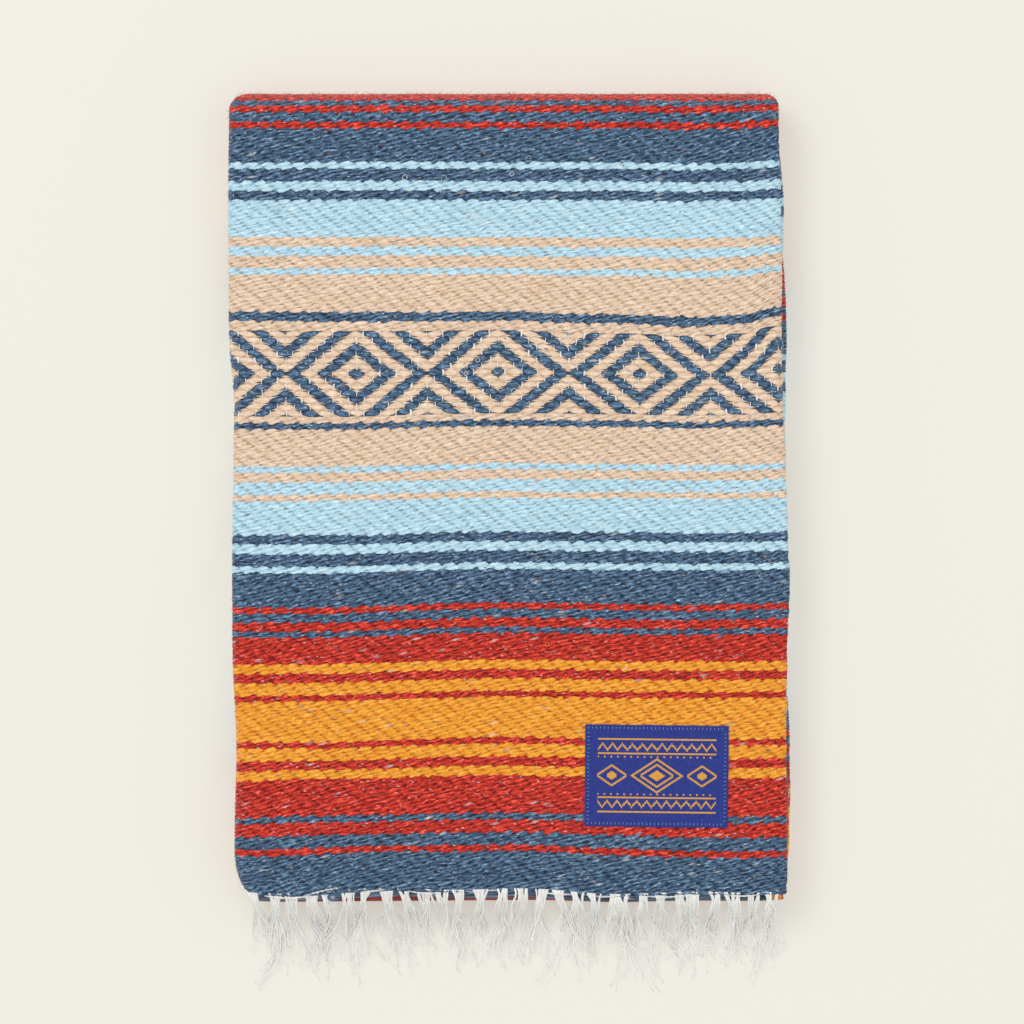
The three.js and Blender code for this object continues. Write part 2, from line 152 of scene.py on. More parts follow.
# Weft chart of one half repeat, from the middle of the wide ochre stripe to the band's middle
HALF_CHART = (
    "O6.5 R2 O4 R3 O3 R9 D2 R3 D3 R2 D11 L2 D4 L3 D3 L11 T3 L3 T4 L2 T12 D2 T2 T14"
)
OCHRE_PICK = 55.5

# Yarn colours, as sRGB
YARNS = {
    "D": (61, 88, 116),
    "L": (187, 225, 241),
    "T": (234, 204, 175),
    "R": (186, 38, 24),
    "O": (246, 157, 40),
}
WHITE_TIE = (236, 235, 230)
# Flecks of recycled fibre: where each shade starts from 0 to 1, and its colour
FLECK_SHADES = (
    (0.0, (236, 235, 229)), (0.52, (150, 192, 214)), (0.80, (104, 74, 62)),
    (0.88, (222, 150, 86)), (0.93, (52, 68, 96)),
)
LABEL_THREAD, LABEL_RIM = 0.42, 0.25
LABEL_BLUES = ((34, 50, 134), (50, 68, 156))
LABEL_GOLDS = ((226, 158, 58), (240, 180, 76))

CLOTH_ROUGHNESS, CLOTH_SHINE, SHEEN_ROUGHNESS = 0.92, 0.15, 0.6
# Light that the thin yarn and the floor give off, so that shadows stay pale; the yarn's glow
# is painted light
YARN_PAINTED_GLOW, FLOOR_GLOW = 0.05, 0.5


def linear(srgb):
    """An sRGB colour of 0 to 255 as a linear RGBA."""
    c = np.array(srgb) / 255
    c = np.where(c <= 0.04045, c / 12.92, ((c + 0.055) / 1.055) ** 2.4)
    return (*c, 1.0)


def read_chart(text):
    """A weft chart as a list of (colour letter, first pick), and its last pick."""
    stripes, at = [], 0.0
    for word in text.split():
        stripes.append((word[0], at))
        at += float(word[1:])
    return stripes, at


def smooth(t):
    u = np.clip(t, 0, 1)
    return u * u * (3 - 2 * u)


def soft_noise(seed, a, b):
    """Smooth noise from -1 to 1 on a lattice of unit cells."""
    grid = np.random.default_rng(seed).uniform(-1, 1, (97, 97))
    i, j = np.floor(a).astype(int), np.floor(b).astype(int)
    fa, fb = smooth(a - i), smooth(b - j)
    i, j = i % 97, j % 97
    i1, j1 = (i + 1) % 97, (j + 1) % 97
    low = grid[i, j] * (1 - fa) + grid[i1, j] * fa
    high = grid[i, j1] * (1 - fa) + grid[i1, j1] * fa
    return low * (1 - fb) + high * fb


def between(places, value):
    """The last of some rising places before a value, and the eased share of the way to the next."""
    k = np.clip(np.searchsorted(places, value, side="right") - 1, 0, len(places) - 2)
    return k, smooth((value - places[k]) / (places[k + 1] - places[k]))


def edge(column, along):
    """One column of EDGE_ROWS at a distance above the hem, eased between its rows."""
    values = EDGE_ROWS[:, EDGE_COLUMNS.index(column)]
    k, t = between(EDGE_ROWS[:, 0], along)
    return values[k] + (values[k + 1] - values[k]) * t


def corner_inset(radius, distance):
    d = np.clip(radius - np.maximum(distance, 0), 0, radius * 0.995)
    return radius - np.sqrt(radius * radius - d * d)


def left_inset(y):
    upper = corner_inset(UPPER_CORNER, STACK_LENGTH / 2 - y)
    return upper + LOWER_LEFT_SHARE * corner_inset(LOWER_LEFT_CORNER, y - HEM_Y + 1)


def right_inset(y):
    upper = corner_inset(UPPER_CORNER, STACK_LENGTH / 2 - y)
    return upper + corner_inset(LOWER_RIGHT_CORNER, y - HEM_Y + 1)


def hem_wave(x):
    return sum(reach * np.sin(TAU * x / length + phase) for reach, length, phase in HEM_WAVES)


def swell(x, y):
    rise = sum(h * np.cos(TAU * (x / lx + y / ly) + phase) for h, lx, ly, phase in SWELLS)
    return rise * smooth((UPPER_FOLD_Y - y) / 60)


def hem_droop(along):
    return HEM_DROOP * (1 - smooth(along / HEM_DROOP_RUN))


def weft_rise(x, run):
    """How far the weft lies above a straight line here, with the hem's own waves at the hem."""
    at = np.array([row[0] for row in WEFT_RISE], float)
    rises = np.array([row[1] for row in WEFT_RISE], float)
    k, t = between(at, run)
    i, u = between(np.array(WEFT_X, float), x)
    low = rises[k, i] * (1 - u) + rises[k, i + 1] * u
    high = rises[k + 1, i] * (1 - u) + rises[k + 1, i + 1] * u
    ripple = 0.45 * soft_noise(3, x / 46 + 40, run / 30 + 40) * smooth(run / 20)
    ripple = ripple * smooth((FLAT_RUN - run) / 40)
    return low * (1 - t) + high * t + ripple + hem_wave(x) * (1 - smooth(run / 60))


def run_pick(run):
    """The pick at a run of cloth from the hem."""
    picks, runs = zip(*BEAT)
    return np.interp(run, runs, picks)


def warp_place(warp):
    """Distance of a warp thread from the selvedge along the cloth."""
    close = SELVEDGE_CLOSE * (1 - np.exp(-np.maximum(warp, 0) / SELVEDGE_WARPS))
    return WARP_PITCH * (warp - close)


def ping_pong(value, scale):
    return np.abs((value + scale) % (2 * scale) - scale)


def band_lift(warp, pick):
    """Height of the diamond band's lens-shaped floats, which lean along their diagonal."""
    i = ping_pong((warp - BAND_WARP) / 2, BAND_REPEAT)
    j = np.abs((pick - BAND_PICK) / 2)
    row = np.floor(j + 0.5)
    across = j - row
    along = 2 * (((i + row + 1 + BAND_LEAN * across * np.minimum(row, 1)) / 2) % 1) - 1
    return 0.85 * (1 - (2 * across) ** 2) * (1 - np.abs(along) ** 3) - 0.4


def twill_lift(warp, pick):
    """Height of the twill: ribs that climb a pick every three warps, with a dip in the groove
    wherever a warp ties a pick down."""
    place = pick - 0.5
    rib = (TWILL_RUN * place + warp) / TWILL
    across = 2 * (rib % 1) - 1
    tie = ((warp - place) % TWILL < 0.01) & (place % 1 < 0.01)
    return 0.8 * (1 - across ** 2) - 0.42 - 0.5 * tie


def cloth_lift(warp, half):
    """Relief of the outer face at whole warps and half picks."""
    pick = half / 2
    in_band = np.abs(pick - BAND_PICK) <= BAND_HALF
    return np.where(in_band, band_lift(warp, pick), twill_lift(warp, pick))


def cloth_point(q, run):
    """Outer face of the top cloth at a distance from the selvedge and a run from the hem, and
    its normal, as two arrays with X, Y and Z last."""
    turn = np.clip((run - FLAT_RUN) / UPPER_RADIUS, 0, math.pi)
    past = np.maximum(run - FLAT_RUN - FOLD_RUN, 0)
    ny, nz = np.sin(turn), np.cos(turn)
    flat_y = HEM_Y + np.minimum(run, FLAT_RUN)
    path_y = flat_y + UPPER_RADIUS * ny - past
    path_z = UPPER_RADIUS * (1 + nz) - hem_droop(run)
    along = path_y - HEM_Y
    left, right = -edge("left", along), edge("right", along)
    middle = left + LEFT_RADIUS
    width = right - middle
    roll = np.clip((q - width) / LEFT_RADIUS, 0, math.pi)
    tuck = np.maximum(q - width - math.pi * LEFT_RADIUS, 0)
    x = right - np.minimum(q, width) - LEFT_RADIUS * np.sin(roll) + tuck
    x = x + left_inset(path_y) * smooth(1 - (x - left - LEFT_RADIUS) / 45)
    x = x - right_inset(path_y) * smooth(1 - (right - x) / 45)
    depth = LEFT_RADIUS * (1 - np.cos(roll))
    rise = swell(x, path_y) * np.maximum(nz, 0)
    point = np.stack([x, path_y - ny * depth, path_z - nz * depth + rise], -1)
    normal = np.stack([-np.sin(roll), np.cos(roll) * ny, np.cos(roll) * nz], -1)
    return point, normal


def clear_of_label(point, margin):
    """Whether a point on the cloth lies outside the label by a margin."""
    u, v = label_frame(point[..., 0], point[..., 1])
    beside = np.abs(u) > LABEL_U + margin
    return beside | (np.abs(v) > LABEL_V + margin)


def label_frame(x, y):
    """A place on the cloth as distances from the label's middle along its sides."""
    dx, dy = x - LABEL["x"], y - LABEL["y"]
    return dx * LABEL_COS + dy * LABEL_SIN, dy * LABEL_COS - dx * LABEL_SIN


def link_object(name, data):
    obj = bpy.data.objects.new(name, data)
    bpy.context.scene.collection.objects.link(obj)
    return obj


def new_object(name, points, faces, material):
    """A mesh object from points in the cloth's frame, riding on the root body."""
    mesh = bpy.data.meshes.new(name)
    mesh.from_pydata(((np.asarray(points) + ORIGIN) * MM).tolist(), [], faces)
    mesh.polygons.foreach_set("use_smooth", [True] * len(mesh.polygons))
    mesh.update()
    obj = link_object(name, mesh)
    mesh.materials.append(material)
    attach(obj, "root")
    return obj


def add_attribute(obj, name, values, domain="POINT"):
    attribute = obj.data.attributes.new(name, "FLOAT_VECTOR", domain)
    attribute.data.foreach_set("vector", np.asarray(values, np.float32).ravel())


def shell_faces(rows, columns, row_step, column_step, last_columns=1):
    """Faces of a closed thin sheet: a fine outer grid whose border already lies on the inner
    side, and a coarse inner grid that uses that border. The last columns are all kept, where the
    sheet rolls. Returns the faces and the fine-grid places (row, column) of the inner points."""
    index = np.arange(rows * columns).reshape(rows, columns)
    a, b, c, d = index[:-1, :-1], index[:-1, 1:], index[1:, 1:], index[1:, :-1]
    faces = np.stack([a, b, c, d], -1).reshape(-1, 4).tolist()
    js = [*range(0, rows - row_step // 2, row_step), rows - 1]
    close = columns - last_columns
    cs = [*range(0, close - column_step // 2, column_step), *range(close, columns)]
    inner, places = {}, []
    for j in js:
        for i in cs:
            if j in (0, rows - 1) or i in (0, columns - 1):
                inner[j, i] = int(index[j, i])
            else:
                inner[j, i] = rows * columns + len(places)
                places.append((j, i))
    for j0, j1 in zip(js, js[1:]):
        for i0, i1 in zip(cs, cs[1:]):
            # On the border the face takes up the fine grid's points too
            left = index[j0 + 1:j1, 0] if i0 == 0 else []
            up = index[j1, i0 + 1:i1] if j1 == rows - 1 else []
            right = index[j0 + 1:j1, i1][::-1] if i1 == columns - 1 else []
            down = index[0, i0 + 1:i1][::-1] if j0 == 0 else []
            corners = [inner[j, i] for j, i in ((j0, i0), (j1, i0), (j1, i1), (j0, i1))]
            sides = zip(corners, (left, up, right, down))
            faces.append([int(k) for corner, side in sides for k in (corner, *side)])
    return faces, places


def ring_faces(index):
    """Faces between the rings of closed forms, from point numbers by form, ring and place."""
    after = np.roll(index, -1, axis=2)
    quads = np.stack([index[:, :-1], after[:, :-1], after[:, 1:], index[:, 1:]], -1)
    return quads.reshape(-1, 4).tolist()


# Shader nodes

class Socket:
    """A shader value that adds Math nodes as it is calculated with."""

    def __init__(self, output):
        self.output, self.tree = output, output.id_data

    def math(self, operation, *others):
        return feed("Math", self, *others, operation=operation)

    __add__ = partialmethod(math, "ADD")
    __sub__ = partialmethod(math, "SUBTRACT")
    __mul__ = partialmethod(math, "MULTIPLY")
    __truediv__ = partialmethod(math, "DIVIDE")
    floor = partialmethod(math, "FLOOR")
    fract = partialmethod(math, "FRACT")
    abs = partialmethod(math, "ABSOLUTE")
    power = partialmethod(math, "POWER")
    ping_pong = partialmethod(math, "PINGPONG")
    above = partialmethod(math, "GREATER_THAN")
    below = partialmethod(math, "LESS_THAN")

    def times(self, a, b=0.0):
        """self * a + b"""
        return self.math("MULTIPLY_ADD", a, b)

    def off_middle(self):
        """How far it is from the middle of its unit cell, from -1 to 1."""
        return self.fract().times(2, -1)

    def ramp(self, low, high, to_low=0.0, to_high=1.0):
        """Eased from to_low at low to to_high at high."""
        return feed("MapRange", self, low, high, to_low, to_high, interpolation_type="SMOOTHSTEP")


def connect(value, slot):
    """Links a shader value to an input, or sets the input to a plain value."""
    if isinstance(value, Socket):
        value.tree.links.new(value.output, slot)
    else:
        slot.default_value = value


def new_node(kind, *values):
    """A shader node in the tree that its values belong to."""
    tree = next(value.tree for value in values if isinstance(value, Socket))
    return tree.nodes.new("ShaderNode" + kind)


def feed(kind, *values, **settings):
    """A new node's first output, with values for its inputs in order."""
    node = new_node(kind, *values)
    for name, setting in settings.items():
        setattr(node, name, setting)
    for value, slot in zip(values, node.inputs):
        connect(value, slot)
    return Socket(node.outputs[0])


def set_inputs(node, values):
    """Sets or links a node's inputs by name."""
    for name, value in values.items():
        connect(value, node.inputs[name])


def mix(factor, a, b, mode="MIX"):
    """Mixes two colours."""
    node = new_node("Mix", factor, a, b)
    node.data_type, node.blend_type = "RGBA", mode
    for value, slot in ((factor, 0), (a, 6), (b, 7)):
        connect(value, node.inputs[slot])
    return Socket(node.outputs[2])


def choose(factor, a, b):
    """Mixes two numbers."""
    node = new_node("Mix", factor)
    for value, slot in ((factor, 0), (a, 2), (b, 3)):
        connect(value, node.inputs[slot])
    return Socket(node.outputs[0])


def combine(x, y, z=0.0):
    return feed("CombineXYZ", x, y, z)


def shade(colour, light):
    """A colour multiplied by one number."""
    return mix(1.0, colour, combine(light, light, light), "MULTIPLY")


def noise(vector, scale, detail=2.0, roughness=0.5):
    node = new_node("TexNoise", vector)
    values = {"Vector": vector, "Scale": scale, "Detail": detail, "Roughness": roughness}
    set_inputs(node, values)
    return Socket(node.outputs["Fac"])


def noise_at(x, y, detail=2.0, roughness=0.5):
    """Noise over two shader values."""
    return noise(combine(x, y), 1.0, detail, roughness)


def random_value(vector):
    node = new_node("TexWhiteNoise", vector)
    connect(vector, node.inputs["Vector"])
    return Socket(node.outputs["Value"])


def colour_steps(factor, stops):
    """A colour ramp with (position, colour) stops."""
    node = new_node("ValToRGB", factor)
    ramp = node.color_ramp
    ramp.interpolation = "CONSTANT"
    for _ in range(len(stops) - 2):
        ramp.elements.new(0.5)
    for element, (position, colour) in zip(ramp.elements, stops):
        element.position, element.color = position, colour
    connect(factor, node.inputs["Fac"])
    return Socket(node.outputs["Color"])


def new_material(name):
    material = bpy.data.materials.new(name)
    material.use_nodes = True
    tree = material.node_tree
    return material, tree, tree.nodes["Principled BSDF"]


def attribute(tree, name):
    """A mesh attribute's vector, and its three parts."""
    node = tree.nodes.new("ShaderNodeAttribute")
    node.attribute_name = name
    vector = Socket(node.outputs["Vector"])
    split = new_node("SeparateXYZ", vector)
    connect(vector, split.inputs[0])
    return vector, [Socket(output) for output in split.outputs]


def object_place(tree):
    return Socket(tree.nodes.new("ShaderNodeTexCoord").outputs["Object"])


def finish_shader(shader, colour, height, depth, sheen=0.25):
    """Sets a cloth shader's finish. Height is 0 to 1 and stands for a depth in metres."""
    bump = new_node("Bump", height)
    set_inputs(bump, {"Strength": 1.0, "Distance": depth, "Height": height})
    set_inputs(shader, {
        "Base Color": colour, "Roughness": CLOTH_ROUGHNESS, "Specular IOR Level": CLOTH_SHINE,
        "Sheen Weight": sheen, "Sheen Roughness": SHEEN_ROUGHNESS,
        "Normal": Socket(bump.outputs[0]),
    })


def chart_colour(pick, chart):
    """The yarn colour of a pick. A ramp holds at most 32 stops, so a long chart uses two."""
    stripes, last = read_chart(chart)
    halves = [stripes[:28], stripes[27:]] if len(stripes) > 30 else [stripes]
    found = None
    for part in halves:
        start = part[0][1]
        end = last if part is halves[-1] else halves[1][1][1]
        stops = [((at - start) / (end - start), linear(YARNS[name])) for name, at in part]
        factor = (pick - start) / (end - start)
        colours = colour_steps(factor, stops)
        found = colours if found is None else mix(pick.above(start + 0.2), found, colours)
    return found


def twill_nodes(warp, pick):
    """The 3/1 twill: ribs that climb a pick every three warps, with ties in the grooves. Returns
    the pick that shows, whose edge waves with the ribs, and the height."""
    near = (pick + 0.5).floor()
    turn = (warp - near).times(TAU / TWILL, TAU / 8)
    uneven = noise_at(warp * 0.21, near * 3.3, 1.0).times(0.9, -0.2)
    wave = (turn.math("SINE") + turn.times(2).math("SINE") * 0.3) * uneven
    rough = noise_at(warp * 0.7, near * 5.1, 3.0, 0.65).times(1.5, -0.75)
    shown = (pick - wave + rough).floor()
    wander = noise_at(warp * 0.34, pick * 0.6).times(1.7, -0.85)
    rib = ((pick - 0.5) * TWILL_RUN + warp) / TWILL + wander
    number = (rib + 0.5).floor()
    groove = (rib - number).abs()
    tie = ((warp - number) / TWILL_RUN + 0.5).fract().times(1, -0.5).abs()
    height = groove.ramp(0.0, 0.36, tie.ramp(0.06, 0.3, 0.0, 0.5), 1.0)
    return shown, height


def band_nodes(warp, pick, middle):
    """The diamond band in double warps and double picks: nested diamonds from the distance to a
    diamond's middle. Floats lean along their diagonal. Returns its colour and height."""
    i = ((warp - BAND_WARP) / 2).ping_pong(BAND_REPEAT)
    j = ((pick - middle) / 2).abs()
    row = (j + 0.5).floor()
    across = j - row
    lean = across * row.math("MINIMUM", 1.0) * BAND_LEAN
    end = ((i + row + lean + 1) / 2).off_middle().abs()
    upright = ((i + row + 1) / 2).off_middle().abs()
    swollen = row + across * end.power(2.0).times(1.5, 0.8)
    top_row = (swollen + 0.5).floor()
    across = swollen - top_row
    lean = across * top_row.math("MINIMUM", 1.0) * BAND_LEAN
    place = (i + top_row + lean + 1) / 4
    denim = place.fract().below(0.5)
    along = (place * 2).off_middle().abs()
    height = across.times(2).power(2).times(-1, 1).abs().power(0.7) * along.power(5).times(-0.95, 1)
    colour = mix(denim, linear(YARNS["T"]), linear(YARNS["D"]))
    seat = random_value(combine((warp / 2 + 0.5).floor(), (pick / 2).floor()))
    tick = upright.above(0.9) * (j - row).abs().below(seat * 0.5) * seat.above(0.6)
    colour = mix(tick, colour, linear(WHITE_TIE))
    return colour, choose(tick, height, 0.8)


def fleck_nodes(across, up, seed, width, height, limit):
    """Short bits of other fibre, one to a cell at most: where they are, and a value for each."""
    chance = random_value(combine(across.floor(), up.floor(), seed))
    kind = random_value(combine(across.floor(), up.floor(), seed + 0.5))
    u = across.off_middle().abs() / width
    v = up.off_middle().abs() / height
    inside = (u + v).ramp(0.75, 1.1, 1.0, 0.0)
    return inside * chance.above(limit), kind


def cloth_material(name, chart, folded):
    """Weft-faced wool and cotton: stripes by pick, twill, heathered yarn and coloured flecks."""
    material, tree, shader = new_material(name)
    _, (warp, pick, _) = attribute(tree, "weave")
    place = combine(warp * WARP_PITCH, pick * PICK_PITCH)
    warp = warp + noise(place, 0.11, 1.0).times(1.3, -0.65)
    pick = pick + noise(combine(warp * 0.5, pick * 0.9), 0.6, 2.0).times(0.8, -0.4)
    shown, height = twill_nodes(warp, pick)
    if folded:
        half_repeat = BAND_PICK - OCHRE_PICK + 1.5
        band_pick, middle = (pick - OCHRE_PICK).ping_pong(half_repeat), half_repeat
        chart_place = (shown + (0.5 - OCHRE_PICK)).ping_pong(half_repeat)
        in_band = band_pick.above(half_repeat - BAND_HALF)
    else:
        band_pick, middle, chart_place = pick, BAND_PICK, shown + 0.5
        in_band = (pick - BAND_PICK).abs().below(BAND_HALF)
    colour = chart_colour(chart_place, chart)
    band_colour, band_height = band_nodes(warp, band_pick, middle)
    colour = mix(in_band, colour, band_colour)
    height = choose(in_band, height, band_height)
    # Fibres lie along the ribs; dark yarn shows them more, and each yarn drifts in colour.
    # The same streaks, with the weave height, also carry painted fibre highlights and shade
    bright = feed("RGBToBW", colour)
    across_rib = pick + warp * choose(in_band, 0.3, 0.0)
    fibre = noise_at(warp * 0.55, across_rib * 1.6, 3.0, 0.8)
    slub = noise_at(warp * 0.16, shown * 3.7)
    value = fibre.times(5.2, -2.6) + slub.times(1.2, -0.6) + height.times(1.2, -0.88)
    value = value.math("MAXIMUM", -1.8).math("MINIMUM", 1.7)
    # Painted shade and highlights: the colour is darker and more saturated in the grooves and at
    # the ties, and lighter and paler on the yarn crests
    light = (value * bright.ramp(0.08, 0.5, 0.68, 0.17)).math("EXPONENT")
    colour = shade(feed("Gamma", colour, value.times(-0.3, 0.97)), light)
    # Small flecks and longer slubs of other recycled fibre
    shades = [(start, linear(colour)) for start, colour in FLECK_SHADES]
    small, kind = fleck_nodes(warp * 0.75 + pick * 0.7, pick * 1.3 - warp * 0.35, 3.5,
                              0.8, 0.62, bright.ramp(0.06, 0.3, 0.93, 0.985))
    colour = mix(small * kind.times(0.6, 0.3), colour, colour_steps(kind, shades))
    long, kind = fleck_nodes(warp * 0.3, across_rib * 0.85, 8.5, 0.85, 0.8,
                             bright.ramp(0.06, 0.3, 0.97, 0.98))
    colour = mix(long * 0.42, colour, colour_steps(kind, shades))
    bump = height * 0.7 + fibre * 0.6
    finish_shader(shader, colour, bump, 0.0009)
    return material


# Pieces

# The steps round a cloth edge, how far they spread in warps, and the rows, columns and roll
# columns that the inner skin keeps
LIP = np.array([math.pi, math.pi * 2 / 3, math.pi / 3])
LIP_SPREAD = 0.3
SKIN_ROWS, SKIN_COLUMNS, ROLL_COLUMNS = 8, 6, 10


def top_cloth():
    """The outer cloth: over the face, round the upper fold and the left fold, and tucked in."""
    lips = len(LIP)
    warp = np.concatenate([-LIP * LIP_SPREAD, np.arange(LAST_WARP + 1), [LAST_WARP]])
    halves = 2 * BEAT[-1][0]
    half = np.concatenate([-LIP * LIP_SPREAD, np.arange(halves + 1), [halves]])
    row, column = np.indices((len(half), len(warp)))
    warp_grid = np.broadcast_to(warp, (len(half), len(warp)))
    half_grid = np.broadcast_to(half[:, None], warp_grid.shape)
    whole_warp, whole_half = np.maximum(warp_grid, 0), np.maximum(half_grid, 0)
    run = np.interp(whole_half / 2, *zip(*BEAT))
    side = np.append(LIP, 0)[np.minimum(column, lips)]
    end = np.append(LIP, 0)[np.minimum(row, lips)]
    q = warp_place(whole_warp)
    x_guess = edge("right", run) - q
    jitter = 0.16 * soft_noise(11, whole_warp / 3.3, whole_half / 1.7)
    run_shown = run + weft_rise(x_guess, run) + jitter
    run_shown = np.where(whole_half > 0, run_shown, weft_rise(x_guess, run))
    run_shown = np.minimum(run_shown, SHEET_RUN + 4)
    q_shown = q + 0.35 * soft_noise(12, whole_warp / 2.1, whole_half / 5)
    point, normal = cloth_point(q_shown, run_shown)
    lift = cloth_lift(whole_warp, whole_half)
    lift = lift * (1 + 0.35 * soft_noise(13, whole_warp / 5, whole_half / 4))
    lift = lift + 0.22 * soft_noise(14, whole_warp / 9, whole_half / 14)
    u, v = label_frame(point[..., 0], point[..., 1])
    over = smooth((LABEL_U + 1 - np.abs(u)) / 2)
    over = over * smooth((LABEL_V + 1 - np.abs(v)) / 2) * (normal[..., 2] > 0.9)
    lift = lift * (1 - 0.75 * over) - 0.25 * over
    inner = (column == len(warp) - 1) | (row == len(half) - 1)
    depth = np.maximum(CLOTH / 2 * (1 - np.cos(side)), CLOTH / 2 * (1 - np.cos(end)))
    depth = np.where(inner, CLOTH, depth)
    lift = np.where(depth > 0, 0, lift)
    lift = np.where(whole_half == 0, np.minimum(lift, 0.1), lift)
    ragged = 0.5 + 0.5 * soft_noise(15, whole_half / 1.9, whole_warp * 0)
    point = point + normal * (lift - depth)[..., None]
    point[..., 0] += np.sin(side) * (0.7 + 0.7 * ragged)
    point[..., 1] -= np.sin(end) * (0.8 + 0.5 * soft_noise(16, whole_warp / 1.7, whole_half * 0))
    rows, columns = warp_grid.shape
    faces, places = shell_faces(rows, columns, SKIN_ROWS, SKIN_COLUMNS, ROLL_COLUMNS)
    j, i = np.array(places).T
    base, out = cloth_point(q[j, i], run_shown[j, i])
    points = np.concatenate([point.reshape(-1, 3), base - out * CLOTH])
    points[:, 2] = np.maximum(points[:, 2], 0.0)
    weave = np.stack([warp_grid, half_grid / 2, 0 * warp_grid], -1)
    weave = np.concatenate([weave.reshape(-1, 3), weave[j, i]])
    obj = new_object("top_cloth", points, faces, cloth_material("woven_stripes", FACE_CHART, False))
    add_attribute(obj, "weave", weave)
    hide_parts("top_layer")
    return obj


# Folds of the hidden layers on the right side, from the surface up: lower and upper height, the
# column of EDGE_ROWS for its crown, what is added to it, and the panel it belongs to
RIGHT_FOLDS = (
    (0, LAYER_PITCH, "fold2", -1.5, 2),
    (LAYER_PITCH, PANEL_HEIGHT, "fold2", 0.0, 2),
    (PANEL_HEIGHT, 5 * LAYER_PITCH, "fold3", 0.0, 3),
    (5 * LAYER_PITCH, 2 * PANEL_HEIGHT, "fold3", -2.0, 3),
    (2 * PANEL_HEIGHT, 8 * LAYER_PITCH, "fold1", 0.0, 1),
)
RIGHT_STEPS, LEFT_STEPS, UNDER_STEPS = 7, 9, 42
# The two folds on the left: upper and lower height, inset and panel
SLIM = 0.3
LEFT_FOLDS = ((2 * PANEL_HEIGHT - SLIM, PANEL_HEIGHT, 1.0, 3), (PANEL_HEIGHT, 0, 1.5, 2))
LEFT_WARP = 140
# The hollow for the top cloth's tuck on the left: its round, and how far it reaches in
TUCK_ROUND, TUCK_REACH = 2.05, 11
UPPER_GAP = 0.35
RIDGE, ROUGHNESS = 0.22, 0.25
# How far the folded edges of each panel lie from the place that a tight fold would give them
FOLD_SLIP = {1: 10.0, 2: 0.0, 3: -55.0}


def panel_pick(panel, y, turn):
    """Pick that shows at a place on a panel. turn is the angle round the lower fold."""
    start = FLAT_RUN + FOLD_RUN
    if panel == 1:
        return run_pick(y - HEM_Y + FOLD_SLIP[1])
    if panel == 2:
        run = start + (UPPER_FOLD_Y - y) + LOWER_RADIUS * turn
    else:
        crown = start + UPPER_FOLD_Y - LOWER_FOLD_Y + LOWER_RADIUS * math.pi / 2
        run = crown + LOWER_RADIUS * (math.pi / 2 - turn) + (y - LOWER_FOLD_Y) + FOLD_SLIP[3]
    return BEAT[-1][0] + (run - SHEET_RUN) / PICK_PITCH


